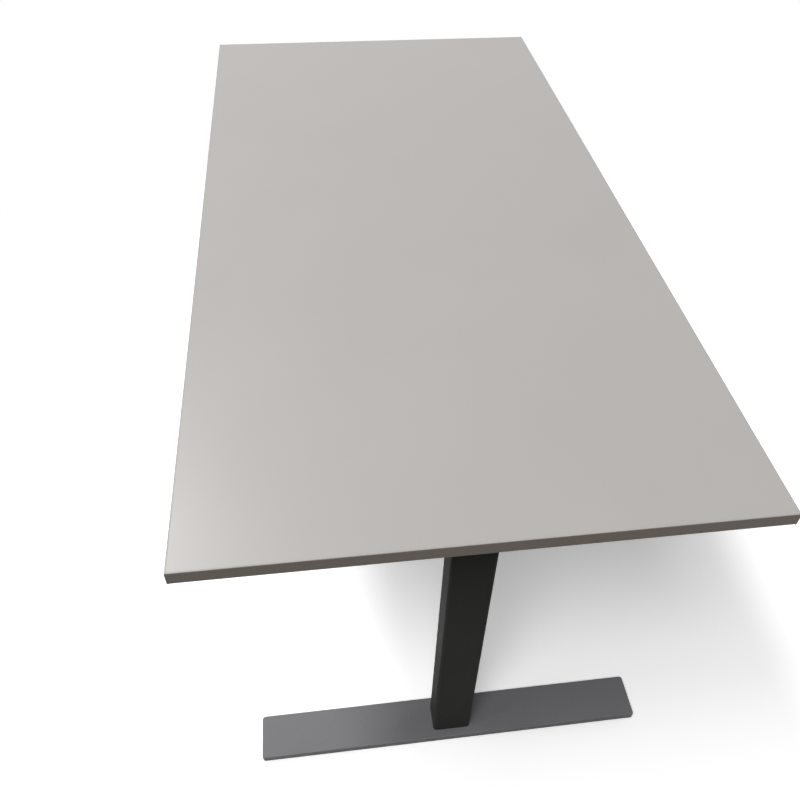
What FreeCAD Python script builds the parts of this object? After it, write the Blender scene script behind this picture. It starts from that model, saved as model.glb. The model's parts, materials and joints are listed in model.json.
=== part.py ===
# Height-adjustable office desk on two telescopic T-legs, modelled in millimetres.
# X runs along the desk, Y from the user's side to the back, Z up.
# The origin is on the floor, under the middle of the top.
import FreeCAD, Part
import math
import os
import re

import Sketcher

# Driving dimensions: name and size in millimetres.
DIMENSIONS = [
    ("desk_length", 1600),
    ("desk_depth", 800),
    ("desk_height", 735),
    ("top_thickness", 22),
    ("band_thickness", 2),
    ("band_round", 1.5),
    ("leg_inset", 101),
    ("column_depth", 50),
    ("column_width", 70),
    ("column_wall", 2),
    ("column_round", 6),
    ("guide_gap", 3),
    ("running_clearance", 0.3),
    ("collar_length", 40),
    ("collar_lip", 4),
    ("slider_length", 40),
    ("lift_down", 35),
    ("lift_up", 425),
    ("end_clearance", 3),
    ("foot_length", 720),
    ("foot_width", 80),
    ("foot_height", 12),
    ("foot_gap", 2),
    ("foot_plate", 4),
    ("foot_corner", 6),
    ("foot_edge_round", 2.5),
    ("foot_screw_spacing_x", 22),
    ("foot_screw_spacing_y", 44),
    ("foot_screw_diameter", 8),
    ("foot_screw_head", 13),
    ("foot_screw_head_height", 4),
    ("glide_inset", 32),
    ("glide_disc", 34),
    ("glide_disc_height", 3),
    ("glide_stud", 8),
    ("glide_boss", 20),
    ("base_block_height", 8),
    ("push_tube_diameter", 20),
    ("push_tube_bore", 15),
    ("nut_diameter", 26),
    ("nut_length", 28),
    ("spindle_diameter", 12),
    ("thread_clearance", 0.3),
    ("bearing_clearance", 0.1),
    ("bearing_diameter", 30),
    ("bearing_length", 12),
    ("gearbox_length", 32),
    ("motor_diameter", 34),
    ("motor_length", 70),
    ("motor_boss_diameter", 16),
    ("frame_depth", 40),
    ("head_thickness", 6),
    ("head_reach", 75),
    ("head_width", 190),
    ("cable_hole", 20),
    ("arm_length", 640),
    ("arm_width", 50),
    ("arm_wall", 3),
    ("arm_tip_depth", 18),
    ("arm_screw_outer", 290),
    ("arm_screw_inner", 150),
    ("rail_width", 25),
    ("rail_wall", 1.5),
    ("rail_offset", 70),
    ("rail_bolt_inset", 35),
    ("rail_bolt_diameter", 6),
    ("rail_bolt_head", 10),
    ("rail_bolt_head_height", 4),
    ("tray_hole_spacing", 600),
    ("tray_hole_diameter", 6.5),
    ("screw_shank", 4),
    ("screw_head", 9),
    ("screw_head_height", 3),
    ("screw_depth", 15),
    ("screw_clearance", 0.1),
    ("screw_end_gap", 1),
    ("box_length", 240),
    ("box_width", 96),
    ("box_height", 36),
    ("box_round", 8),
    ("box_ear", 18),
    ("box_ear_thickness", 3),
    ("box_x", 180),
    ("box_y", 180),
    ("bay_length", 120),
    ("bay_height", 18),
    ("bay_depth", 12),
    ("handset_length", 110),
    ("handset_depth", 44),
    ("handset_height", 22),
    ("handset_round", 5),
    ("handset_x", 480),
    ("handset_setback", 6),
    ("button_width", 26),
    ("button_height", 11),
    ("button_round", 2.5),
    ("button_depth", 7),
    ("button_proud", 1.6),
    ("button_pitch", 36),
    ("button_well", 10),
    ("handset_screw_pitch", 80),
]
ALIASES = {name for name, size in DIMENSIONS}

# Levels and places that several pieces share, as expressions of the driving dimensions.
UNDERSIDE = "(desk_height - top_thickness)"
HEAD_TOP = f"({UNDERSIDE} - frame_depth)"
HEAD_BOTTOM = f"({HEAD_TOP} - head_thickness)"
FOOT_TOP = "(foot_gap + foot_height)"
BLOCK_TOP = f"({FOOT_TOP} + base_block_height)"
MOVING_BOTTOM = f"({BLOCK_TOP} + lift_down + end_clearance)"
COLLAR_TOP = f"({HEAD_BOTTOM} - lift_down - end_clearance)"
OUTER_TOP = f"({COLLAR_TOP} - collar_lip)"
MOTOR_BOTTOM = f"({HEAD_BOTTOM} - motor_length)"
GEARBOX_BOTTOM = f"({MOTOR_BOTTOM} - gearbox_length)"
BEARING_BOTTOM = f"({GEARBOX_BOTTOM} - bearing_length)"
NUT_TOP = f"({BEARING_BOTTOM} - lift_down - end_clearance)"
NUT_BOTTOM = f"({NUT_TOP} - nut_length)"
LEG_X = "(desk_length / 2 - leg_inset)"
CAVITY_DEPTH = "(column_depth - 2 * column_wall)"
CAVITY_WIDTH = "(column_width - 2 * column_wall)"
CAVITY_ROUND = "(column_round - column_wall)"
INNER_DEPTH = f"({CAVITY_DEPTH} - 2 * guide_gap)"
INNER_WIDTH = f"({CAVITY_WIDTH} - 2 * guide_gap)"
INNER_ROUND = f"({CAVITY_ROUND} - guide_gap / 2)"
CORE_LENGTH = "(desk_length - 2 * band_thickness)"
CORE_DEPTH = "(desk_depth - 2 * band_thickness)"
GLIDE_Y = "(foot_length / 2 - glide_inset)"
HANDSET_FRONT = "(desk_depth / 2 - handset_setback)"
HANDSET_Y = f"(handset_depth / 2 - {HANDSET_FRONT})"
BOX_SCREW_X = "(box_length / 2 + box_ear / 2)"
SCREW_HOLE = "(screw_shank + 4 * screw_clearance)"
FOOT_SCREW_HOLE = "(foot_screw_diameter + 2 * thread_clearance)"
RAIL_BOLT_HOLE = "(rail_bolt_diameter + 2 * thread_clearance)"
GLIDE_HOLE = "(glide_stud + 2 * thread_clearance)"
SPINDLE_HOLE = "(spindle_diameter + 2 * thread_clearance)"
SIDES = {"left": -1, "right": 1}

doc = FreeCAD.newDocument("HeightAdjustableDesk")
sheet = doc.addObject("Spreadsheet::Sheet", "Sheet")
pieces = []


def fill_sheet():
    """Writes the driving dimensions into the spreadsheet, one alias per row."""
    for row, (name, size) in enumerate(DIMENSIONS, start=1):
        sheet.set(f"A{row}", name)
        sheet.set(f"B{row}", str(size))
        sheet.setAlias(f"B{row}", name)
    doc.recompute()


def tied(text):
    """An expression in which every driving dimension points at its spreadsheet cell."""
    def cell(word):
        return f"Sheet.{word[0]}" if word[0] in ALIASES else word[0]

    return re.sub(r"[a-z][a-z_]*", cell, text)


def value(text):
    """The present value of an expression, used to start a sketch near its final form."""
    number = sheet.evalExpression(tied(text))
    return float(getattr(number, "Value", number))


def bind(item, **sizes):
    """Ties properties of an object to expressions."""
    for name, text in sizes.items():
        item.setExpression(name, tied(text))
    return item


def place(item, x="0", y="0", z="0"):
    """Ties an object's position to expressions."""
    for axis, text in zip("xyz", (x, y, z)):
        item.setExpression(f"Placement.Base.{axis}", tied(text))
    return item


def keep(item, label):
    """Makes an object one of the desk's pieces, under the name that its file gets."""
    item.Label = label
    pieces.append(item)
    return item


def body(label):
    return keep(doc.addObject("PartDesign::Body", label), label)


def sketch_on(solid, name, plane="XY_Plane", level="0"):
    """A sketch on one of the body's own planes, raised by an expression along the plane's normal."""
    sketch = solid.newObject("Sketcher::SketchObject", f"{solid.Name}_{name}")
    support = next(part for part in solid.Origin.OriginFeatures if part.Role == plane)
    sketch.AttachmentSupport = [(support, "")]
    sketch.MapMode = "FlatFace"
    sketch.setExpression("AttachmentOffset.Base.z", tied(level))
    return sketch


def dimension(sketch, text, *constraint):
    """Adds a constraint whose size is an expression."""
    index = sketch.addConstraint(Sketcher.Constraint(*constraint, value(text)))
    sketch.setExpression(f"Constraints[{index}]", tied(text))


def rounded_rectangle(sketch, width, height, radius, x="0", y="0"):
    """A rectangle with four equal corner arcs, centred on (x, y)."""
    half_w, half_h, r = value(width) / 2, value(height) / 2, value(radius)
    mid_x, mid_y = value(x), value(y)
    first = sketch.GeometryCount
    corners = [(1, 1, 0), (-1, 1, 90), (-1, -1, 180), (1, -1, 270)]
    for sign_x, sign_y, start in corners:
        centre = FreeCAD.Vector(mid_x + sign_x * (half_w - r), mid_y + sign_y * (half_h - r), 0)
        circle = Part.Circle(centre, FreeCAD.Vector(0, 0, 1), r)
        quarter = Part.ArcOfCircle(circle, math.radians(start), math.radians(start + 90))
        sketch.addGeometry(quarter, False)
    ends = [sketch.getPoint(first + arc, 2) for arc in range(4)]
    starts = [sketch.getPoint(first + arc, 1) for arc in range(4)]
    for arc in range(4):
        following = (arc + 1) % 4
        sketch.addGeometry(Part.LineSegment(ends[arc], starts[following]), False)
        line = first + 4 + arc
        sketch.addConstraint(Sketcher.Constraint("Tangent", first + arc, 2, line, 1))
        sketch.addConstraint(Sketcher.Constraint("Tangent", line, 2, first + following, 1))
        sketch.addConstraint(Sketcher.Constraint("Horizontal" if arc % 2 == 0 else "Vertical", line))
    for arc in range(1, 4):
        sketch.addConstraint(Sketcher.Constraint("Equal", first, first + arc))
    dimension(sketch, radius, "Radius", first)
    dimension(sketch, f"{x} + {width} / 2 - {radius}", "DistanceX", -1, 1, first, 3)
    dimension(sketch, f"{y} + {height} / 2 - {radius}", "DistanceY", -1, 1, first, 3)
    dimension(sketch, f"{width} - 2 * {radius}", "DistanceX", first + 2, 3, first, 3)
    dimension(sketch, f"{height} - 2 * {radius}", "DistanceY", first + 2, 3, first, 3)


def outline(sketch, corners):
    """A closed outline of straight runs; each corner is an (x, y) pair dimensioned from the origin."""
    spots = [FreeCAD.Vector(value(x), value(y), 0) for x, y in corners]
    first = sketch.GeometryCount
    for index, spot in enumerate(spots):
        sketch.addGeometry(Part.LineSegment(spot, spots[(index + 1) % len(spots)]), False)
    for index, (x, y) in enumerate(corners):
        line = first + index
        following = first + (index + 1) % len(corners)
        sketch.addConstraint(Sketcher.Constraint("Coincident", line, 2, following, 1))
        dimension(sketch, x, "DistanceX", -1, 1, line, 1)
        dimension(sketch, y, "DistanceY", -1, 1, line, 1)


def circles(sketch, diameter, spots):
    """Equal circles centred on (x, y) expressions."""
    for x, y in spots:
        centre = FreeCAD.Vector(value(x), value(y), 0)
        circle = Part.Circle(centre, FreeCAD.Vector(0, 0, 1), value(diameter) / 2)
        index = sketch.addGeometry(circle, False)
        dimension(sketch, diameter, "Diameter", index)
        dimension(sketch, x, "DistanceX", -1, 1, index, 3)
        dimension(sketch, y, "DistanceY", -1, 1, index, 3)


def feature(solid, kind, sketch, length, reverse=False):
    """A pad or pocket of a sketch; a pocket runs against the sketch's normal unless it is reversed."""
    made = solid.newObject(f"PartDesign::{kind}", f"{sketch.Name}_{kind}")
    made.Profile = sketch
    made.Reversed = reverse
    bind(made, Length=length)
    sketch.Visibility = False
    doc.recompute()
    return made


def round_face(solid, base, radius, direction):
    """Rounds every edge of the flat face that lies furthest along a direction."""
    faces = base.Shape.Faces
    best = max(range(len(faces)), key=lambda index: faces[index].CenterOfMass.dot(direction))
    fillet = solid.newObject("PartDesign::Fillet", f"{base.Name}_round")
    fillet.Base = (base, [f"Face{best + 1}"])
    bind(fillet, Radius=radius)
    doc.recompute()
    return fillet


def pair(distance):
    """Two spots on the X axis, at a distance to each side of the middle."""
    return [(f"{sign} * {distance}", "0") for sign in (-1, 1)]


def pair_along_y(distance, x="0"):
    """Two spots on the line at x, at a distance to the front and to the back of the middle."""
    return [(x, f"{sign} * {distance}") for sign in (-1, 1)]


def four(x, y):
    """The four corners of a rectangle of half-sizes x and y."""
    return [(f"{sign_x} * {x}", f"{sign_y} * {y}") for sign_x in (-1, 1) for sign_y in (-1, 1)]


def cylinder(name, diameter, height, x="0", y="0", z="0"):
    made = doc.addObject("Part::Cylinder", name)
    bind(made, Radius=f"{diameter} / 2", Height=height)
    return place(made, x, y, z)


def ring(label, diameter, bore, height, x, z):
    """A plain sleeve on a leg's axis: a cylinder with a bore through it."""
    made = doc.addObject("Part::Cut", label)
    made.Base = cylinder(f"{label}_outside", diameter, height, x, "0", z)
    made.Tool = cylinder(f"{label}_bore", bore, height, x, "0", z)
    return keep(made, label)


def joined(name, shapes):
    made = doc.addObject("Part::MultiFuse", name)
    made.Shapes = shapes
    return made


def grouped(name, shapes):
    made = doc.addObject("Part::Compound", name)
    made.Links = shapes
    return made


def headed_screw(name, x, y, z, head, head_height, shank, length):
    """A screw that points up: its head below the level z, its shank above it."""
    shapes = [
        cylinder(f"{name}_head", head, head_height, x, y, f"{z} - {head_height}"),
        cylinder(f"{name}_shank", shank, length, x, y, z),
    ]
    return joined(name, shapes)


def desktop():
    """The board with its pilot holes, and four edge bands whose outer arrises are rounded."""
    core = body("desktop_core")
    face = sketch_on(core, "plan", level=UNDERSIDE)
    outline(face, [
        (f"-{CORE_LENGTH} / 2", f"-{CORE_DEPTH} / 2"),
        (f"{CORE_LENGTH} / 2", f"-{CORE_DEPTH} / 2"),
        (f"{CORE_LENGTH} / 2", f"{CORE_DEPTH} / 2"),
        (f"-{CORE_LENGTH} / 2", f"{CORE_DEPTH} / 2"),
    ])
    feature(core, "Pad", face, "top_thickness")
    holes = sketch_on(core, "pilot_holes", level=UNDERSIDE)
    spots = four(LEG_X, "arm_screw_outer") + four(LEG_X, "arm_screw_inner")
    spots += [(f"box_x + {sign} * {BOX_SCREW_X}", "box_y") for sign in (-1, 1)]
    spots += [(f"handset_x + {sign} * handset_screw_pitch / 2", HANDSET_Y) for sign in (-1, 1)]
    circles(holes, "(screw_shank + 2 * screw_clearance)", spots)
    feature(core, "Pocket", holes, "(screw_depth + screw_end_gap)", reverse=True)
    for name, plane, along, away in (
        ("edge_band_front", "YZ_Plane", "desk_length", -1),
        ("edge_band_back", "YZ_Plane", "desk_length", 1),
        ("edge_band_left", "XZ_Plane", CORE_DEPTH, -1),
        ("edge_band_right", "XZ_Plane", CORE_DEPTH, 1),
    ):
        edge_band(name, plane, along, away)


def edge_band(name, plane, along, away):
    """A strip of edging: its section has two rounded outer corners, and it is padded along the edge."""
    same_spot = 1e-6
    band = body(name)
    section = sketch_on(band, "section", plane, f"-{along} / 2")
    inner = CORE_DEPTH if plane == "YZ_Plane" else CORE_LENGTH
    inside = f"{away} * {inner} / 2"
    shoulder = f"{away} * ({inner} / 2 + band_thickness - band_round)"
    outside = f"{away} * ({inner} / 2 + band_thickness)"
    low, high = UNDERSIDE, "desk_height"
    spots = [(inside, low), (shoulder, low), (outside, f"({low} + band_round)"),
             (outside, f"({high} - band_round)"), (shoulder, high), (inside, high)]
    points = [FreeCAD.Vector(value(x), value(y), 0) for x, y in spots]
    centres = [(shoulder, f"({low} + band_round)"), (shoulder, f"({high} - band_round)")]
    bulge = 0.5 ** 0.5 * value("band_round")
    middles = [FreeCAD.Vector(value(x) + away * bulge, value(y) + turn * bulge, 0)
               for (x, y), turn in zip(centres, (-1, 1))]
    edges = [
        Part.LineSegment(points[0], points[1]),
        Part.Arc(points[1], middles[0], points[2]),
        Part.LineSegment(points[2], points[3]),
        Part.Arc(points[3], middles[1], points[4]),
        Part.LineSegment(points[4], points[5]),
        Part.LineSegment(points[5], points[0]),
    ]
    for edge in edges:
        section.addGeometry(edge, False)
    starts = {}
    for index, (x, y) in enumerate(spots):
        starts[index] = next(
            end for end in (1, 2) if section.getPoint(index, end).isEqual(points[index], same_spot))
        dimension(section, x, "DistanceX", -1, 1, index, starts[index])
        dimension(section, y, "DistanceY", -1, 1, index, starts[index])
    for index in range(len(spots)):
        following = (index + 1) % len(spots)
        section.addConstraint(
            Sketcher.Constraint("Coincident", index, 3 - starts[index], following, starts[following]))
    for index in (1, 3):
        dimension(section, "band_round", "Radius", index)
    strip = feature(band, "Pad", section, along)
    middle = strip.Shape.BoundBox.Center
    if abs(middle.x if plane == "YZ_Plane" else middle.y) > same_spot:
        section.setExpression("AttachmentOffset.Base.z", tied(f"{along} / 2"))
        strip.Reversed = not strip.Reversed
        doc.recompute()


def tube(label, depth, width, rounding, wall, length, x, z):
    """A rectangular tube with rounded corners standing on the level z."""
    made = body(label)
    section = sketch_on(made, "section")
    rounded_rectangle(section, depth, width, rounding)
    rounded_rectangle(section, f"({depth} - 2 * {wall})", f"({width} - 2 * {wall})", f"({rounding} - {wall})")
    feature(made, "Pad", section, length)
    return place(made, x, "0", z)


def foot(side, x):
    """A pressed foot: a shallow tray turned upside down, with glide bosses and screw holes."""
    made = body(f"foot_{side}")
    plan = sketch_on(made, "plan")
    rounded_rectangle(plan, "foot_width", "foot_length", "foot_corner")
    slab = feature(made, "Pad", plan, "foot_height")
    round_face(made, slab, "foot_edge_round", FreeCAD.Vector(0, 0, 1))
    hollow = sketch_on(made, "hollow")
    rounded_rectangle(hollow, "(foot_width - 2 * foot_plate)", "(foot_length - 2 * foot_plate)",
                      "(foot_corner - foot_plate / 2)")
    feature(made, "Pocket", hollow, "foot_height - foot_plate", reverse=True)
    bosses = sketch_on(made, "bosses", level="glide_disc_height - foot_gap")
    circles(bosses, "glide_boss", pair_along_y(GLIDE_Y))
    boss_height = "(foot_height - foot_plate - glide_disc_height + foot_gap)"
    feature(made, "Pad", bosses, boss_height)
    threads = sketch_on(made, "threads", level="glide_disc_height - foot_gap")
    circles(threads, GLIDE_HOLE, pair_along_y(GLIDE_Y))
    feature(made, "Pocket", threads, boss_height, reverse=True)
    holes = sketch_on(made, "screw_holes", level="foot_height - foot_plate")
    circles(holes, FOOT_SCREW_HOLE, four("foot_screw_spacing_x / 2", "foot_screw_spacing_y / 2"))
    feature(made, "Pocket", holes, "foot_plate", reverse=True)
    place(made, x, "0", "foot_gap")


def glide(side, end, x, sign):
    """A levelling glide: a floor disc with a rounded rim under a threaded stud."""
    y = f"{sign} * {GLIDE_Y}"
    made = body(f"glide_{side}_{end}")
    plan = sketch_on(made, "disc")
    circles(plan, "glide_disc", [("0", "0")])
    disc = feature(made, "Pad", plan, "glide_disc_height")
    round_face(made, disc, "glide_disc_height / 4", FreeCAD.Vector(0, 0, 1))
    stem = sketch_on(made, "stud", level="glide_disc_height")
    circles(stem, "glide_stud", [("0", "0")])
    feature(made, "Pad", stem, "foot_height - foot_plate - glide_disc_height + foot_gap - thread_clearance")
    place(made, x, y, "0")


def column_base(side, x):
    """What stands inside the outer tube: threaded block, push tube and nut, with the foot's screws."""
    block = body(f"base_block_{side}")
    plan = sketch_on(block, "plan")
    rounded_rectangle(
        plan, f"({CAVITY_DEPTH} - 2 * thread_clearance)", f"({CAVITY_WIDTH} - 2 * thread_clearance)",
        CAVITY_ROUND)
    feature(block, "Pad", plan, "base_block_height")
    threads = sketch_on(block, "threads")
    spots = four("foot_screw_spacing_x / 2", "foot_screw_spacing_y / 2")
    circles(threads, FOOT_SCREW_HOLE, spots)
    feature(block, "Pocket", threads, "base_block_height", reverse=True)
    place(block, x, "0", FOOT_TOP)
    push_length = f"{NUT_BOTTOM} - {BLOCK_TOP}"
    ring(f"push_tube_{side}", "push_tube_diameter", "push_tube_bore", push_length, x, BLOCK_TOP)
    ring(f"spindle_nut_{side}", "nut_diameter", SPINDLE_HOLE, "nut_length", x, NUT_BOTTOM)
    seat = "(foot_gap + foot_height - foot_plate)"
    screws = [
        headed_screw(f"foot_screw_{side}_{index}", f"{x} + ({dx})", dy, seat, "foot_screw_head",
                     "foot_screw_head_height", "foot_screw_diameter",
                     "foot_plate + base_block_height - screw_end_gap")
        for index, (dx, dy) in enumerate(spots)
    ]
    keep(grouped(f"foot_screws_{side}", screws), f"foot_screws_{side}")


def guides(side, x):
    """The guides of the telescope: a lipped collar in the outer tube and a slider round the inner one."""
    collar = body(f"guide_collar_{side}")
    opening = [
        f"({INNER_DEPTH} + 2 * running_clearance)", f"({INNER_WIDTH} + 2 * running_clearance)", INNER_ROUND]
    sleeve = sketch_on(collar, "sleeve")
    rounded_rectangle(sleeve, CAVITY_DEPTH, CAVITY_WIDTH, CAVITY_ROUND)
    rounded_rectangle(sleeve, *opening)
    feature(collar, "Pad", sleeve, "collar_length")
    lip = sketch_on(collar, "lip", level="collar_length")
    rounded_rectangle(lip, "column_depth", "column_width", "column_round")
    rounded_rectangle(lip, *opening)
    feature(collar, "Pad", lip, "collar_lip")
    place(collar, x, "0", f"{OUTER_TOP} - collar_length")
    slider = body(f"guide_slider_{side}")
    section = sketch_on(slider, "section")
    rounded_rectangle(
        section, f"({CAVITY_DEPTH} - 2 * running_clearance)", f"({CAVITY_WIDTH} - 2 * running_clearance)",
        CAVITY_ROUND)
    rounded_rectangle(section, INNER_DEPTH, INNER_WIDTH, INNER_ROUND)
    feature(slider, "Pad", section, "slider_length")
    place(slider, x, "0", MOVING_BOTTOM)


def drive(side, x):
    """The drive in the top of the inner tube: motor, gearbox, bearing and the spindle below them."""
    shapes = [
        cylinder(f"motor_can_{side}", "motor_diameter", "motor_length", x, "0", MOTOR_BOTTOM),
        cylinder(f"motor_boss_{side}", "motor_boss_diameter", "head_thickness", x, "0", HEAD_BOTTOM),
    ]
    keep(joined(f"motor_{side}", shapes), f"motor_{side}")
    gearbox = body(f"gearbox_{side}")
    section = sketch_on(gearbox, "section")
    cavity = [f"({INNER_DEPTH} - 2 * column_wall - 2 * running_clearance)",
              f"({INNER_WIDTH} - 2 * column_wall - 2 * running_clearance)", "running_clearance"]
    rounded_rectangle(section, *cavity)
    feature(gearbox, "Pad", section, "gearbox_length")
    place(gearbox, x, "0", GEARBOX_BOTTOM)
    ring(f"spindle_bearing_{side}", "bearing_diameter", "(spindle_diameter + 2 * bearing_clearance)",
         "bearing_length", x, BEARING_BOTTOM)
    spindle = body(f"spindle_{side}")
    plan = sketch_on(spindle, "section")
    circles(plan, "spindle_diameter", [("0", "0")])
    rod = feature(spindle, "Pad", plan, f"{GEARBOX_BOTTOM} - {MOVING_BOTTOM}")
    tip = spindle.newObject("PartDesign::Chamfer", f"{rod.Name}_tip")
    low = min(range(len(rod.Shape.Faces)), key=lambda index: rod.Shape.Faces[index].CenterOfMass.z)
    tip.Base = (rod, [f"Face{low + 1}"])
    bind(tip, Size="spindle_diameter / 8")
    place(spindle, x, "0", MOVING_BOTTOM)


def support_frame(side, sign, x):
    """The head plate on the column, and the tapered arm under the board, a channel that is open below."""
    head = body(f"head_plate_{side}")
    plan = sketch_on(head, "plan")
    outer_x = f"{sign} * arm_width / 2"
    inner_x = f"-{sign} * (arm_width / 2 + head_reach)"
    outline(plan, [(outer_x, "-head_width / 2"), (outer_x, "head_width / 2"),
                   (inner_x, "head_width / 2"), (inner_x, "-head_width / 2")])
    feature(head, "Pad", plan, "head_thickness")
    holes = sketch_on(head, "cable_hole")
    circles(holes, "cable_hole", [("0", "0")])
    bolt_x = f"-{sign} * (arm_width / 2 + rail_bolt_inset)"
    circles(holes, RAIL_BOLT_HOLE, pair_along_y("rail_offset", bolt_x))
    feature(head, "Pocket", holes, "head_thickness", reverse=True)
    place(head, x, "0", HEAD_BOTTOM)
    arm = body(f"support_arm_{side}")
    profile = sketch_on(arm, "profile", "YZ_Plane", "-arm_width / 2")
    outline(profile, [
        ("-arm_length / 2", "0"), ("arm_length / 2", "0"), ("arm_length / 2", "-arm_tip_depth"),
        ("head_width / 2", "-frame_depth"), ("-head_width / 2", "-frame_depth"),
        ("-arm_length / 2", "-arm_tip_depth"),
    ])
    blank = feature(arm, "Pad", profile, "arm_width")
    channel = sketch_on(arm, "channel", "XZ_Plane", "-arm_length / 2")
    inside = "(arm_width / 2 - arm_wall)"
    outline(channel, [(f"-{inside}", "-arm_wall"), (inside, "-arm_wall"), (inside, "-frame_depth"),
                      (f"-{inside}", "-frame_depth")])
    cut = feature(arm, "Pocket", channel, "arm_length", reverse=True)
    least_cut = 1
    if abs(cut.Shape.Volume - blank.Shape.Volume) < least_cut:
        cut.Reversed = False
        doc.recompute()
    holes = sketch_on(arm, "screw_holes")
    reaches = ("arm_screw_outer", "arm_screw_inner")
    spots = [("0", f"{turn} * {reach}") for turn in (-1, 1) for reach in reaches]
    circles(holes, SCREW_HOLE, spots)
    feature(arm, "Pocket", holes, "arm_wall")
    place(arm, x, "0", UNDERSIDE)
    seat = f"({UNDERSIDE} - arm_wall)"
    screws = [
        headed_screw(f"arm_screw_{side}_{index}", x, y, seat, "screw_head", "screw_head_height",
                     "screw_shank", "arm_wall + screw_depth")
        for index, (_, y) in enumerate(spots)
    ]
    keep(grouped(f"arm_screws_{side}", screws), f"arm_screws_{side}")
    bolts = [
        headed_screw(f"rail_bolt_{side}_{index}", f"{x} + ({bolt_x})", f"{turn} * rail_offset", HEAD_BOTTOM,
                     "rail_bolt_head", "rail_bolt_head_height", "rail_bolt_diameter",
                     "head_thickness + 4 * rail_wall")
        for index, turn in enumerate((-1, 1))
    ]
    keep(grouped(f"rail_bolts_{side}", bolts), f"rail_bolts_{side}")


def rail(name, sign, tray_holes):
    """A rectangular tube between the arms, drilled for its bolts and, at the back, for a cable tray."""
    made = body(name)
    span = f"(2 * {LEG_X} - arm_width)"
    section = sketch_on(made, "section", "YZ_Plane", f"-{span} / 2")
    for inset in ("0", "rail_wall"):
        half = f"(rail_width / 2 - {inset})"
        outline(section, [(f"-{half}", inset), (half, inset), (half, f"frame_depth - {inset}"),
                          (f"-{half}", f"frame_depth - {inset}")])
    feature(made, "Pad", section, span)
    holes = sketch_on(made, "bolt_holes")
    circles(holes, RAIL_BOLT_HOLE, pair(f"({span} / 2 - rail_bolt_inset)"))
    if tray_holes:
        circles(holes, "tray_hole_diameter", pair("tray_hole_spacing / 2"))
    feature(made, "Pocket", holes, "rail_wall", reverse=True)
    place(made, "0", f"{sign} * rail_offset", HEAD_TOP)


def control_box():
    """The control unit under the board: a rounded housing with a connector bay, ears and their screws."""
    made = body("control_box")
    plan = sketch_on(made, "plan", level="-box_height")
    rounded_rectangle(plan, "box_length", "box_width", "box_round")
    block = feature(made, "Pad", plan, "box_height")
    round_face(made, block, "box_round / 3", FreeCAD.Vector(0, 0, -1))
    ears = sketch_on(made, "ears", level="-box_ear_thickness")
    rounded_rectangle(ears, "(box_length + 2 * box_ear)", "(box_width / 2)", "box_round")
    feature(made, "Pad", ears, "box_ear_thickness")
    holes = sketch_on(made, "ear_holes")
    circles(holes, SCREW_HOLE, pair(BOX_SCREW_X))
    feature(made, "Pocket", holes, "box_ear_thickness")
    bay = sketch_on(made, "connector_bay", "XZ_Plane", "-box_width / 2")
    rounded_rectangle(bay, "bay_length", "bay_height", "box_round / 4", "0", "-box_height / 2")
    feature(made, "Pocket", bay, "bay_depth", reverse=True)
    place(made, "box_x", "box_y", UNDERSIDE)
    seat = f"({UNDERSIDE} - box_ear_thickness)"
    screws = [
        headed_screw(f"box_screw_{index}", f"box_x + {sign} * {BOX_SCREW_X}", "box_y", seat, "screw_head",
                     "screw_head_height", "screw_shank", "box_ear_thickness + screw_depth")
        for index, sign in enumerate((-1, 1))
    ]
    keep(grouped("control_box_screws", screws), "control_box_screws")


def handset():
    """The hand switch under the front edge: a rounded case with two wells, its buttons and its screws."""
    made = body("handset_case")
    plan = sketch_on(made, "plan", level="-handset_height")
    rounded_rectangle(plan, "handset_length", "handset_depth", "handset_round")
    case = feature(made, "Pad", plan, "handset_height")
    round_face(made, case, "handset_round / 3", FreeCAD.Vector(0, 0, -1))
    wells = sketch_on(made, "button_wells", "XZ_Plane", "handset_depth / 2")
    for sign in (-1, 1):
        rounded_rectangle(
            wells, "(button_width + 2 * running_clearance)", "(button_height + 2 * running_clearance)",
            "(button_round + running_clearance)", f"{sign} * button_pitch / 2", "-handset_height / 2")
    feature(made, "Pocket", wells, "button_well")
    holes = sketch_on(made, "screw_holes", level="-handset_height")
    circles(holes, SCREW_HOLE, pair("handset_screw_pitch / 2"))
    feature(made, "Pocket", holes, "handset_height", reverse=True)
    recess = sketch_on(made, "head_recess", level="-handset_height")
    circles(recess, "(screw_head + 4 * screw_clearance)", pair("handset_screw_pitch / 2"))
    feature(made, "Pocket", recess, "(handset_height - 2 * screw_head_height)", reverse=True)
    place(made, "handset_x", HANDSET_Y, UNDERSIDE)
    for name, sign in (("button_down", -1), ("button_up", 1)):
        button = body(name)
        face = sketch_on(button, "face", "XZ_Plane", "button_proud")
        rounded_rectangle(face, "button_width", "button_height", "button_round")
        cap = feature(button, "Pad", face, "button_depth + button_proud", reverse=True)
        round_face(button, cap, "button_round / 5", FreeCAD.Vector(0, -1, 0))
        place(button, f"handset_x + {sign} * button_pitch / 2", f"-{HANDSET_FRONT}",
              f"{UNDERSIDE} - handset_height / 2")
    seat = f"({UNDERSIDE} - 2 * screw_head_height)"
    screws = [
        headed_screw(f"handset_screw_{index}", f"handset_x + {sign} * handset_screw_pitch / 2", HANDSET_Y,
                     seat, "screw_head", "screw_head_height", "screw_shank",
                     "2 * screw_head_height + screw_depth")
        for index, sign in enumerate((-1, 1))
    ]
    keep(grouped("handset_screws", screws), "handset_screws")


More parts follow.
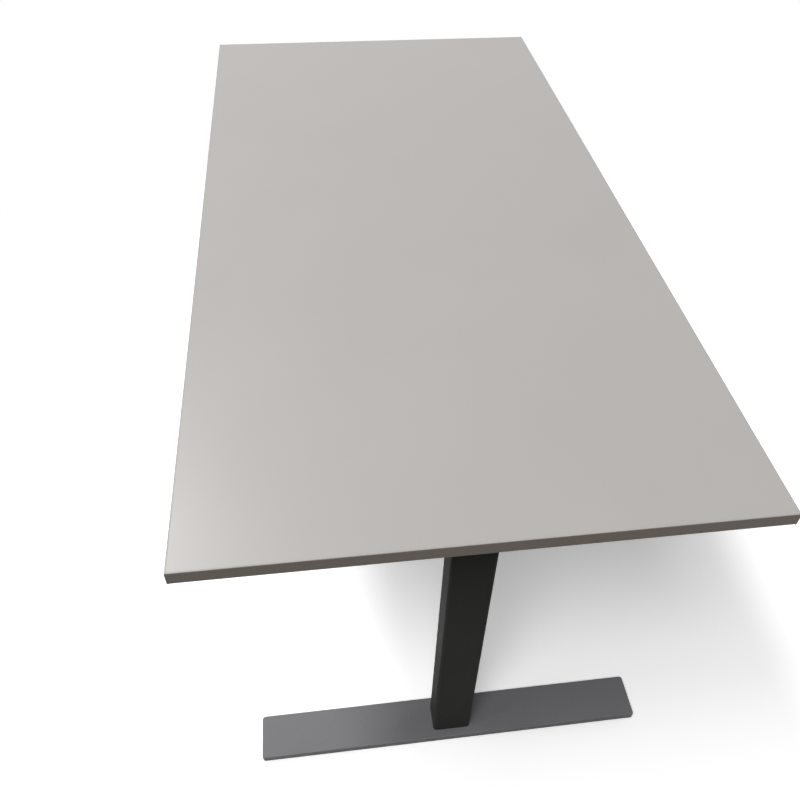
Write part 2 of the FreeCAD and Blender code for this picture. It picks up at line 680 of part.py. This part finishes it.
def leg(side, sign):
    """One T-leg, from its glides to the arm that carries the board."""
    x = f"({sign} * {LEG_X})"
    foot(side, x)
    for end, turn in (("front", -1), ("back", 1)):
        glide(side, end, x, turn)
    tube(f"outer_column_{side}", "column_depth", "column_width", "column_round", "column_wall",
         f"{OUTER_TOP} - {FOOT_TOP}", x, FOOT_TOP)
    tube(f"inner_column_{side}", INNER_DEPTH, INNER_WIDTH, INNER_ROUND, "column_wall",
         f"{HEAD_BOTTOM} - {MOVING_BOTTOM}", x, MOVING_BOTTOM)
    column_base(side, x)
    guides(side, x)
    drive(side, x)
    support_frame(side, sign, x)


def write_pieces():
    """Stops on a failed object or a bad solid, then writes each piece to its own file."""
    doc.recompute()
    failed = [item.Label for item in doc.Objects if {"Invalid", "Error"} & set(item.State)]
    bad = [item.Label for item in pieces if item.Shape.isNull() or not item.Shape.isValid()]
    if failed or bad:
        raise RuntimeError(f"failed objects: {failed}; bad shapes: {bad}")
    os.makedirs("parts", exist_ok=True)
    for item in pieces:
        item.Shape.exportStep(os.path.join("parts", f"{item.Label}.step"))
    print(f"{len(pieces)} pieces written")


fill_sheet()
desktop()
for side, sign in SIDES.items():
    leg(side, sign)
rail("rail_front", -1, tray_holes=False)
rail("rail_back", 1, tray_holes=True)
control_box()
handset()
write_pieces()
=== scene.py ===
"""Height-adjustable desk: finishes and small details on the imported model, with light and camera."""
import json
import math

import bmesh
import bpy
from mathutils import Euler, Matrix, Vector


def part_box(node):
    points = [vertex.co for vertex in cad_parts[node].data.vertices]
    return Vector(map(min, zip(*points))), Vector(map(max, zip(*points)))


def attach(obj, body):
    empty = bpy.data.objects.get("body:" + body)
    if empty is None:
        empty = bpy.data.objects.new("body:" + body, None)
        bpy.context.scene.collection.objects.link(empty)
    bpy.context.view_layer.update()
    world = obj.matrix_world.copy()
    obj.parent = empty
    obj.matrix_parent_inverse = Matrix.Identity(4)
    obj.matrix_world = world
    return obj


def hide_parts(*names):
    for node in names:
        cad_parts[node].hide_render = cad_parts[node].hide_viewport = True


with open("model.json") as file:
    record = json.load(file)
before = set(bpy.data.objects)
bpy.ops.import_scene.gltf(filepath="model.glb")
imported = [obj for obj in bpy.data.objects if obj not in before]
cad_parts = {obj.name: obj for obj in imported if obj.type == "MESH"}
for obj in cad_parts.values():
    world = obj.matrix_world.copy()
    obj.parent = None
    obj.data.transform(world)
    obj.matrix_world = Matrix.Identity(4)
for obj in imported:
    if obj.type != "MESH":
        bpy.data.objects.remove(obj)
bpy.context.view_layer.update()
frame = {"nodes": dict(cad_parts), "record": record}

MM = 0.001
nodes = frame["nodes"]
record = frame["record"]
slot_of = {entry["node"]: entry["material_slot"] for entry in record["subparts"]}
body_of = {node: body for body, members in record["behaviour"]["bodies"].items() for node in members}

# Camera, in metres and degrees; the image is square, so the sensor width is also its height.
CAMERA_PLACE = (-1.35264, 0.1972, 1.55465)
CAMERA_TURN = (45.6976, -1.2741, -97.2219)
CAMERA_LENS_MM = 36.04
CAMERA_SENSOR_MM = 36.0
CAMERA_SHIFT = (-0.011, -0.0126)

# Lamps: name, place and aim in metres, size in metres, power in watts.
LAMPS = [
    ("front_ceiling_panel", (-3.5, 1.7, 6.2), (-0.5, 0.0, 0.4), 2.7, 200.0),
    ("side_ceiling_panel", (-1.2, 3.9, 6.8), (-0.2, 0.0, 0.5), 2.0, 140.0),
    ("far_window", (4.3, 3.05, 8.1), (-0.75, 0.35, 0.7), 1.5, 410.0),
    ("user_side_fill", (0.4, -4.2, 1.3), (0.0, 0.0, 0.4), 2.2, 32.0),
]

# The room's light comes from the far end: its level towards -X and towards +X, and where it turns.
ROOM_DARK_END = 0.02
ROOM_LIGHT_END = 0.20
ROOM_TURN = 0.5

# Floor: its side in metres, its grey to bounced light, and its white and glow as the camera sees them.
FLOOR_SIZE = 30.0
FLOOR_BOUNCE = 0.12
FLOOR_SEEN = 1.15
FLOOR_LIFT = 0.25
PLAIN_WHITE = 1.0
# The floor fades to plain white between these distances from a point under the top, in metres.
FADE_CENTRE = (0.25, -0.1, 0.0)
FADE_START = 0.85
FADE_END = 1.7

# Noise: the middle part where nearly all of it lies, the scale of slow mottling in cycles per metre,
# and the number of finer layers in the slow and in the fine noise.
NOISE_LOW = 0.3
NOISE_HIGH = 0.7
SLOW_SCALE = 5.0
SLOW_LAYERS = 3.0
FINE_LAYERS = 2.0
# Samples with which a softened edge is shaded.
EDGE_SAMPLES = 4
# The upward part of a face's normal at which the edging's painted shade starts and ends turning to the
# colour of the top.
PAINTED_SHADE_START = 0.3
PAINTED_SHADE_END = 0.8

# Finishes: one for each material slot of the record, and one for the marks on the buttons.
# Colours are linear, fine_scale is in cycles per metre, mottling and speckle are shares of the colour,
# relief_mm is the depth of the speckle, and edge_mm is the radius to which edges are softened.
LAMINATE_COLOUR = (0.425, 0.403, 0.387)
FINISHES = {
    "top_laminate": dict(
        colour=LAMINATE_COLOUR, roughness=0.35, fine_scale=1400.0, mottling=0.012, speckle=0.035,
        relief_mm=0.010, gloss=0.30, roughness_spread=0.015),
    # Painted shade: the edging's own colour is near the laminate's. This darker, warm colour is shade
    # painted on its upright faces, and faces that look up take the laminate's colour.
    "edge_banding": dict(
        colour=(0.198, 0.162, 0.135), roughness=0.42, fine_scale=1100.0, mottling=0.02, speckle=0.03,
        relief_mm=0.008, gloss=0.3, edge_mm=0.8, unshaded_colour=LAMINATE_COLOUR),
    # Painted light: the columns and the feet share one dark grey coat. The columns' colour is painted
    # darker as shade, and the feet's colour is painted lighter and slightly blue as cool light falling on
    # them.
    "leg_coating": dict(
        colour=(0.049, 0.048, 0.046), roughness=0.62, fine_scale=900.0, mottling=0.05, speckle=0.12,
        relief_mm=0.022, gloss=0.03, edge_mm=0.8),
    "foot_coating": dict(
        colour=(0.187, 0.187, 0.196), roughness=0.50, fine_scale=900.0, mottling=0.05, speckle=0.08,
        relief_mm=0.022, gloss=0.2, edge_mm=0.8),
    "guide_plastic": dict(colour=(0.022, 0.022, 0.023), roughness=0.55, fine_scale=700.0, relief_mm=0.03),
    "glide_plastic": dict(colour=(0.018, 0.018, 0.018), roughness=0.50, fine_scale=600.0, relief_mm=0.03),
    "case_plastic": dict(
        colour=(0.030, 0.030, 0.032), roughness=0.56, fine_scale=1200.0, speckle=0.12, relief_mm=0.045),
    "button_plastic": dict(colour=(0.090, 0.090, 0.095), roughness=0.38, fine_scale=900.0, relief_mm=0.012),
    "fastener_steel": dict(
        colour=(0.56, 0.56, 0.54), roughness=0.34, fine_scale=400.0, mottling=0.08, relief_mm=0.015,
        metallic=1.0, edge_mm=0.2),
    "drive_steel": dict(
        colour=(0.42, 0.42, 0.43), roughness=0.36, fine_scale=300.0, mottling=0.06, relief_mm=0.02,
        metallic=1.0, stretch=(1.0, 1.0, 8.0)),
    "gearbox_alloy": dict(
        colour=(0.58, 0.58, 0.59), roughness=0.48, fine_scale=350.0, mottling=0.06, relief_mm=0.06,
        metallic=1.0),
    "nut_brass": dict(
        colour=(0.70, 0.54, 0.25), roughness=0.34, fine_scale=350.0, mottling=0.05, relief_mm=0.02,
        metallic=1.0, stretch=(1.0, 1.0, 6.0)),
    "mark_print": dict(colour=(0.55, 0.55, 0.54), roughness=0.5, fine_scale=900.0, relief_mm=0.01),
}

# Arrow marks on the buttons, in metres, and the share of the outline that the flat front keeps.
MARK_HALF_WIDTH = 3.6 * MM
MARK_HEIGHT = 4.6 * MM
MARK_RISE = 0.25 * MM
MARK_ROUNDING = 0.12 * MM
MARK_FRONT_SHARE = 0.94

# Sockets in the connector bay of the control unit, in metres.
BAY_DEPTH = 12.0 * MM
SOCKET_COUNT = 5
SOCKET_PITCH = 22.0 * MM
SOCKET_WIDTH = 17.0 * MM
SOCKET_HEIGHT = 14.0 * MM
SOCKET_LENGTH = 10.0 * MM
SOCKET_RIM = 2.0 * MM
SOCKET_WELL = 8.0 * MM

# Screws: steps round the head and over its rounded rim, then shares of the head's radius or height.
TURN_STEPS = 24
RIM_STEPS = 4
HEAD_ROUNDING = 0.35
HEX_ACROSS = 0.5
HEX_DEPTH = 0.6
HEX_POINT = 0.1
# Corners closer than this are one corner, and corners this far out belong to the head.
WELD = 0.001 * MM
RIM_SHARE = 0.95
# Faces of a detail that meet at less than this angle are shaded as one smooth face.
SMOOTH_ANGLE = math.radians(40.0)


def add_node(tree, kind, **settings):
    """A shader node with its properties set."""
    node = tree.nodes.new(kind)
    for name, setting in settings.items():
        setattr(node, name, setting)
    return node


def noise(tree, scale, detail, coordinates, stretch=(1.0, 1.0, 1.0)):
    """A noise texture on the object's own coordinates, in cycles per metre."""
    mapping = add_node(tree, "ShaderNodeMapping")
    mapping.inputs["Scale"].default_value = stretch
    texture = add_node(tree, "ShaderNodeTexNoise")
    texture.inputs["Scale"].default_value = scale
    texture.inputs["Detail"].default_value = detail
    tree.links.new(coordinates, mapping.inputs["Vector"])
    tree.links.new(mapping.outputs["Vector"], texture.inputs["Vector"])
    return texture.outputs["Fac"]


def spread(tree, source, low, high):
    """Maps the middle of a noise onto low to high."""
    remap = add_node(tree, "ShaderNodeMapRange")
    remap.inputs["From Min"].default_value = NOISE_LOW
    remap.inputs["From Max"].default_value = NOISE_HIGH
    remap.inputs["To Min"].default_value = low
    remap.inputs["To Max"].default_value = high
    tree.links.new(source, remap.inputs["Value"])
    return remap.outputs["Result"]


def shade_colour(tree, colour, factor):
    """A colour that is made lighter and darker by a factor around 1."""
    mix = add_node(tree, "ShaderNodeMix", data_type="RGBA", blend_type="MULTIPLY")
    mix.inputs["Factor"].default_value = 1.0
    mix.inputs["A"].default_value = (*colour, 1.0)
    combine = add_node(tree, "ShaderNodeCombineColor")
    for channel in ("Red", "Green", "Blue"):
        tree.links.new(factor, combine.inputs[channel])
    tree.links.new(combine.outputs["Color"], mix.inputs["B"])
    return mix.outputs["Result"]


def unshaded_facing_up(tree):
    """0 on upright and hanging faces, which keep the painted shade, and 1 where a face looks up and takes
    the unshaded colour.
    """
    normal = add_node(tree, "ShaderNodeSeparateXYZ")
    tree.links.new(add_node(tree, "ShaderNodeNewGeometry").outputs["Normal"], normal.inputs["Vector"])
    ramp = add_node(tree, "ShaderNodeMapRange")
    ramp.inputs["From Min"].default_value = PAINTED_SHADE_START
    ramp.inputs["From Max"].default_value = PAINTED_SHADE_END
    tree.links.new(normal.outputs["Z"], ramp.inputs["Value"])
    return ramp.outputs["Result"]


def surface(name, colour, roughness, fine_scale, mottling=0.03, speckle=0.04, relief_mm=0.02, metallic=0.0,
            gloss=0.5, edge_mm=0.5, stretch=(1.0, 1.0, 1.0), roughness_spread=0.06, unshaded_colour=None):
    """A finish with slow mottling, fine speckle, relief from the same speckle and softly broken edges."""
    material = bpy.data.materials.new(name)
    material.use_nodes = True
    tree = material.node_tree
    shader = tree.nodes["Principled BSDF"]
    place = add_node(tree, "ShaderNodeTexCoord").outputs["Object"]
    slow = noise(tree, SLOW_SCALE, SLOW_LAYERS, place)
    fine = noise(tree, fine_scale, FINE_LAYERS, place, stretch)
    product = add_node(tree, "ShaderNodeMath", operation="MULTIPLY")
    tree.links.new(spread(tree, slow, 1.0 - mottling, 1.0 + mottling), product.inputs[0])
    tree.links.new(spread(tree, fine, 1.0 - speckle, 1.0 + speckle), product.inputs[1])
    shade = product.outputs["Value"]
    tint = shade_colour(tree, colour, shade)
    # Painted shade: upright and hanging faces keep the darker colour as shade, and faces that look up turn
    # to the unshaded colour.
    if unshaded_colour:
        blend = add_node(tree, "ShaderNodeMix", data_type="RGBA")
        tree.links.new(unshaded_facing_up(tree), blend.inputs["Factor"])
        tree.links.new(tint, blend.inputs["A"])
        tree.links.new(shade_colour(tree, unshaded_colour, shade), blend.inputs["B"])
        tint = blend.outputs["Result"]
    tree.links.new(tint, shader.inputs["Base Color"])
    rough = spread(tree, slow, roughness - roughness_spread, roughness + roughness_spread)
    tree.links.new(rough, shader.inputs["Roughness"])
    edge = add_node(tree, "ShaderNodeBevel", samples=EDGE_SAMPLES)
    edge.inputs["Radius"].default_value = edge_mm * MM
    bump = add_node(tree, "ShaderNodeBump")
    bump.inputs["Strength"].default_value = 1.0
    bump.inputs["Distance"].default_value = relief_mm * MM
    tree.links.new(fine, bump.inputs["Height"])
    tree.links.new(edge.outputs["Normal"], bump.inputs["Normal"])
    tree.links.new(bump.outputs["Normal"], shader.inputs["Normal"])
    shader.inputs["Metallic"].default_value = metallic
    shader.inputs["Specular IOR Level"].default_value = gloss
    return material


def dress_nodes(finishes):
    """Gives every node the finish of its slot in the record."""
    for name, node in nodes.items():
        node.data.materials.clear()
        node.data.materials.append(finishes[slot_of[name]])


def new_piece(name, mesh_builder, body, material):
    """Adds a detail made by a function, riding on a body."""
    mesh = bpy.data.meshes.new(name)
    shape = bmesh.new()
    mesh_builder(shape)
    bmesh.ops.recalc_face_normals(shape, faces=shape.faces)
    shape.to_mesh(mesh)
    shape.free()
    mesh.shade_smooth()
    mesh.set_sharp_from_angle(angle=SMOOTH_ANGLE)
    piece = bpy.data.objects.new(name, mesh)
    bpy.context.scene.collection.objects.link(piece)
    mesh.materials.append(material)
    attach(piece, body)
    return piece


def bridge(shape, rings):
    """Joins each ring of corners to the next with four-sided faces."""
    for near, far in zip(rings, rings[1:]):
        for index, corner in enumerate(near):
            following = (index + 1) % len(near)
            shape.faces.new((corner, near[following], far[following], far[index]))


def button_marks(finishes):
    """A raised arrowhead on each button: it points up on one and down on the other."""
    for name, direction in (("button_up", 1), ("button_down", -1)):
        low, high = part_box(name)
        middle = (low + high) / 2
        tip = direction * MARK_HEIGHT / 2
        corners = [(-MARK_HALF_WIDTH, -tip), (MARK_HALF_WIDTH, -tip), (0.0, tip)]
        front = low.y - MARK_RISE
        levels = [(low.y + MARK_ROUNDING, 1.0), (front + MARK_ROUNDING, 1.0), (front, MARK_FRONT_SHARE)]

        def build(shape, middle=middle, corners=corners, levels=levels):
            rings = [
                [shape.verts.new((middle.x + x * share, y, middle.z + z * share)) for x, z in corners]
                for y, share in levels
            ]
            shape.faces.new(rings[0])
            shape.faces.new(rings[-1])
            bridge(shape, rings)

        new_piece(f"{name}_mark", build, name, finishes["mark_print"])


def connector_sockets(finishes):
    """A row of sockets on the back wall of the control unit's connector bay."""
    low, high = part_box("control_box")
    middle = (low + high) / 2
    wall_y = high.y - BAY_DEPTH
    signs = [(-1, -1), (1, -1), (1, 1), (-1, 1)]
    levels = [(0.0, 0.0), (0.0, SOCKET_LENGTH), (SOCKET_RIM, SOCKET_LENGTH),
              (SOCKET_RIM, SOCKET_LENGTH - SOCKET_WELL)]

    def build(shape):
        for index in range(SOCKET_COUNT):
            x = middle.x + (index - (SOCKET_COUNT - 1) / 2) * SOCKET_PITCH
            rings = []
            for inset, depth in levels:
                half_width = SOCKET_WIDTH / 2 - inset
                half_height = SOCKET_HEIGHT / 2 - inset
                rings.append([
                    shape.verts.new((x + side * half_width, wall_y + depth, middle.z + end * half_height))
                    for side, end in signs
                ])
            shape.faces.new(rings[0])
            shape.faces.new(rings[-1])
            bridge(shape, rings)

    new_piece("connector_sockets", build, "lift", finishes["guide_plastic"])


def shells_of(node):
    """The corners of each separate solid in a node, in a steady order."""
    shape = bmesh.new()
    shape.from_mesh(node.data)
    bmesh.ops.remove_doubles(shape, verts=shape.verts, dist=WELD)
    waiting = set(shape.verts)
    shells = []
    while waiting:
        front = [waiting.pop()]
        shell = []
        while front:
            corner = front.pop()
            shell.append(node.matrix_world @ corner.co)
            neighbours = {edge.other_vert(corner) for edge in corner.link_edges} & waiting
            waiting -= neighbours
            front.extend(neighbours)
        shells.append(shell)
    shape.free()
    return sorted(shells, key=lambda shell: tuple(min(spot[axis] for spot in shell) for axis in range(2)))


def add_screw(shape, shell):
    """A screw that points up, as large as a plain one: rounded head, hexagon socket and shank."""
    low = Vector([min(spot[axis] for spot in shell) for axis in range(3)])
    high = Vector([max(spot[axis] for spot in shell) for axis in range(3)])
    middle = (low + high) / 2
    reach = [(math.hypot(spot.x - middle.x, spot.y - middle.y), spot.z) for spot in shell]
    head = (high.x - low.x) / 2
    head_top = max(z for radius, z in reach if radius > RIM_SHARE * head)
    shank = max(radius for radius, z in reach if z > (head_top + high.z) / 2)
    head_height = head_top - low.z
    rounding = HEAD_ROUNDING * head_height
    turns = [step / TURN_STEPS * math.tau for step in range(TURN_STEPS)]
    sixth = math.tau / 6
    hexagon = [HEX_ACROSS * head / math.cos(turn % sixth - sixth / 2) for turn in turns]
    profile = [([shank] * TURN_STEPS, high.z), ([shank] * TURN_STEPS, head_top)]
    profile.append(([head] * TURN_STEPS, head_top))
    for step in range(RIM_STEPS + 1):
        lean = step / RIM_STEPS * math.pi / 2
        radius = head - rounding * (1.0 - math.cos(lean))
        profile.append(([radius] * TURN_STEPS, low.z + rounding * (1.0 - math.sin(lean))))
    profile += [(hexagon, low.z), (hexagon, low.z + HEX_DEPTH * head_height)]
    rings = [
        [shape.verts.new((middle.x + radius * math.cos(turn), middle.y + radius * math.sin(turn), z))
         for radius, turn in zip(radii, turns)]
        for radii, z in profile
    ]
    bridge(shape, rings)
    shape.faces.new(rings[0])
    point = shape.verts.new((middle.x, middle.y, low.z + (HEX_DEPTH + HEX_POINT) * head_height))
    for index, corner in enumerate(rings[-1]):
        shape.faces.new((corner, rings[-1][(index + 1) % TURN_STEPS], point))


def socket_screws(finishes):
    """Screws with hexagon sockets, which stand for the plain ones."""
    slot = "fastener_steel"
    for name in sorted(node for node in nodes if slot_of[node] == slot):

        def build(shape, name=name):
            for shell in shells_of(nodes[name]):
                add_screw(shape, shell)

        piece = new_piece(f"{name}_socketed", build, body_of[name], finishes[slot])
        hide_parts(name)


def seen_directly(tree):
    """1 for what the camera sees, also in a mirror or through glass, and 0 for light that bounces."""
    path = add_node(tree, "ShaderNodeLightPath")
    total = path.outputs["Is Camera Ray"]
    for ray in ("Is Glossy Ray", "Is Transmission Ray"):
        joined = add_node(tree, "ShaderNodeMath", operation="ADD", use_clamp=True)
        tree.links.new(total, joined.inputs[0])
        tree.links.new(path.outputs[ray], joined.inputs[1])
        total = joined.outputs["Value"]
    return total


def mixed(tree, factor, first, second):
    """A shader that goes from the first to the second as the factor goes from 0 to 1."""
    mix = add_node(tree, "ShaderNodeMixShader")
    tree.links.new(factor, mix.inputs["Fac"])
    tree.links.new(first, mix.inputs[1])
    tree.links.new(second, mix.inputs[2])
    return mix.outputs["Shader"]


def matt(tree, level):
    """A plain matt grey."""
    shader = add_node(tree, "ShaderNodeBsdfDiffuse")
    shader.inputs["Color"].default_value = (level, level, level, 1.0)
    return shader.outputs["BSDF"]


def glow(tree, strength):
    """A plain white emission."""
    shader = add_node(tree, "ShaderNodeEmission")
    shader.inputs["Strength"].default_value = strength
    return shader.outputs["Emission"]


def floor_material():
    """White to the camera apart from the shadow, grey to bounced light, and clear when seen from below."""
    material = bpy.data.materials.new("studio_floor")
    material.use_nodes = True
    tree = material.node_tree
    tree.nodes.remove(tree.nodes["Principled BSDF"])
    lit = add_node(tree, "ShaderNodeAddShader")
    tree.links.new(matt(tree, FLOOR_SEEN), lit.inputs[0])
    tree.links.new(glow(tree, FLOOR_LIFT), lit.inputs[1])
    radius = add_node(tree, "ShaderNodeVectorMath", operation="DISTANCE")
    radius.inputs[1].default_value = FADE_CENTRE
    tree.links.new(add_node(tree, "ShaderNodeTexCoord").outputs["Object"], radius.inputs[0])
    fade = add_node(tree, "ShaderNodeMapRange", interpolation_type="SMOOTHSTEP")
    fade.inputs["From Min"].default_value = FADE_START
    fade.inputs["From Max"].default_value = FADE_END
    tree.links.new(radius.outputs["Value"], fade.inputs["Value"])
    shown = mixed(tree, fade.outputs["Result"], lit.outputs["Shader"], glow(tree, PLAIN_WHITE))
    above = mixed(tree, seen_directly(tree), matt(tree, FLOOR_BOUNCE), shown)
    clear = add_node(tree, "ShaderNodeBsdfTransparent").outputs["BSDF"]
    from_below = add_node(tree, "ShaderNodeNewGeometry").outputs["Backfacing"]
    tree.links.new(mixed(tree, from_below, above, clear), tree.nodes["Material Output"].inputs["Surface"])
    return material


def add_floor():
    """A pale floor that fades into the white room."""
    half = FLOOR_SIZE / 2
    corners = [(-half, -half, 0), (half, -half, 0), (half, half, 0), (-half, half, 0)]
    mesh = bpy.data.meshes.new("floor")
    mesh.from_pydata(corners, [], [(0, 1, 2, 3)])
    mesh.materials.append(floor_material())
    floor = bpy.data.objects.new("floor", mesh)
    bpy.context.scene.collection.objects.link(floor)


def add_room():
    """A room that is white to the camera and lights the object from its far end."""
    world = bpy.data.worlds.new("studio_room")
    bpy.context.scene.world = world
    world.use_nodes = True
    tree = world.node_tree
    backdrop = tree.nodes["Background"]
    backdrop.inputs["Color"].default_value = (1.0, 1.0, 1.0, 1.0)
    direction = add_node(tree, "ShaderNodeSeparateXYZ")
    tree.links.new(add_node(tree, "ShaderNodeTexCoord").outputs["Generated"], direction.inputs["Vector"])
    level = add_node(tree, "ShaderNodeMapRange", interpolation_type="SMOOTHSTEP")
    level.inputs["From Min"].default_value = -ROOM_TURN
    level.inputs["From Max"].default_value = ROOM_TURN
    level.inputs["To Min"].default_value = ROOM_DARK_END
    level.inputs["To Max"].default_value = ROOM_LIGHT_END
    tree.links.new(direction.outputs["X"], level.inputs["Value"])
    shown = add_node(tree, "ShaderNodeMath", operation="MAXIMUM")
    tree.links.new(seen_directly(tree), shown.inputs[0])
    tree.links.new(level.outputs["Result"], shown.inputs[1])
    tree.links.new(shown.outputs["Value"], backdrop.inputs["Strength"])


def add_lamps():
    """Round soft lamps, each turned to its aim."""
    for name, place, aim, size, power in LAMPS:
        light = bpy.data.lights.new(name, "AREA")
        light.shape = "DISK"
        light.size = size
        light.energy = power
        lamp = bpy.data.objects.new(name, light)
        lamp.location = place
        lamp.rotation_euler = (Vector(aim) - Vector(place)).to_track_quat("-Z", "Y").to_euler()
        bpy.context.scene.collection.objects.link(lamp)


def add_camera():
    """The camera, above one end of the desk and turned along it."""
    lens = bpy.data.cameras.new("camera")
    lens.sensor_width = CAMERA_SENSOR_MM
    lens.lens = CAMERA_LENS_MM
    lens.shift_x, lens.shift_y = CAMERA_SHIFT
    camera = bpy.data.objects.new("camera", lens)
    camera.location = CAMERA_PLACE
    camera.rotation_euler = Euler([math.radians(turn) for turn in CAMERA_TURN], "XYZ")
    bpy.context.scene.collection.objects.link(camera)
    bpy.context.scene.camera = camera
    bpy.context.scene.view_settings.view_transform = "Standard"


finishes = {name: surface(name, **settings) for name, settings in FINISHES.items()}
dress_nodes(finishes)
button_marks(finishes)
connector_sockets(finishes)
socket_screws(finishes)
add_floor()
add_room()
add_lamps()
add_camera()
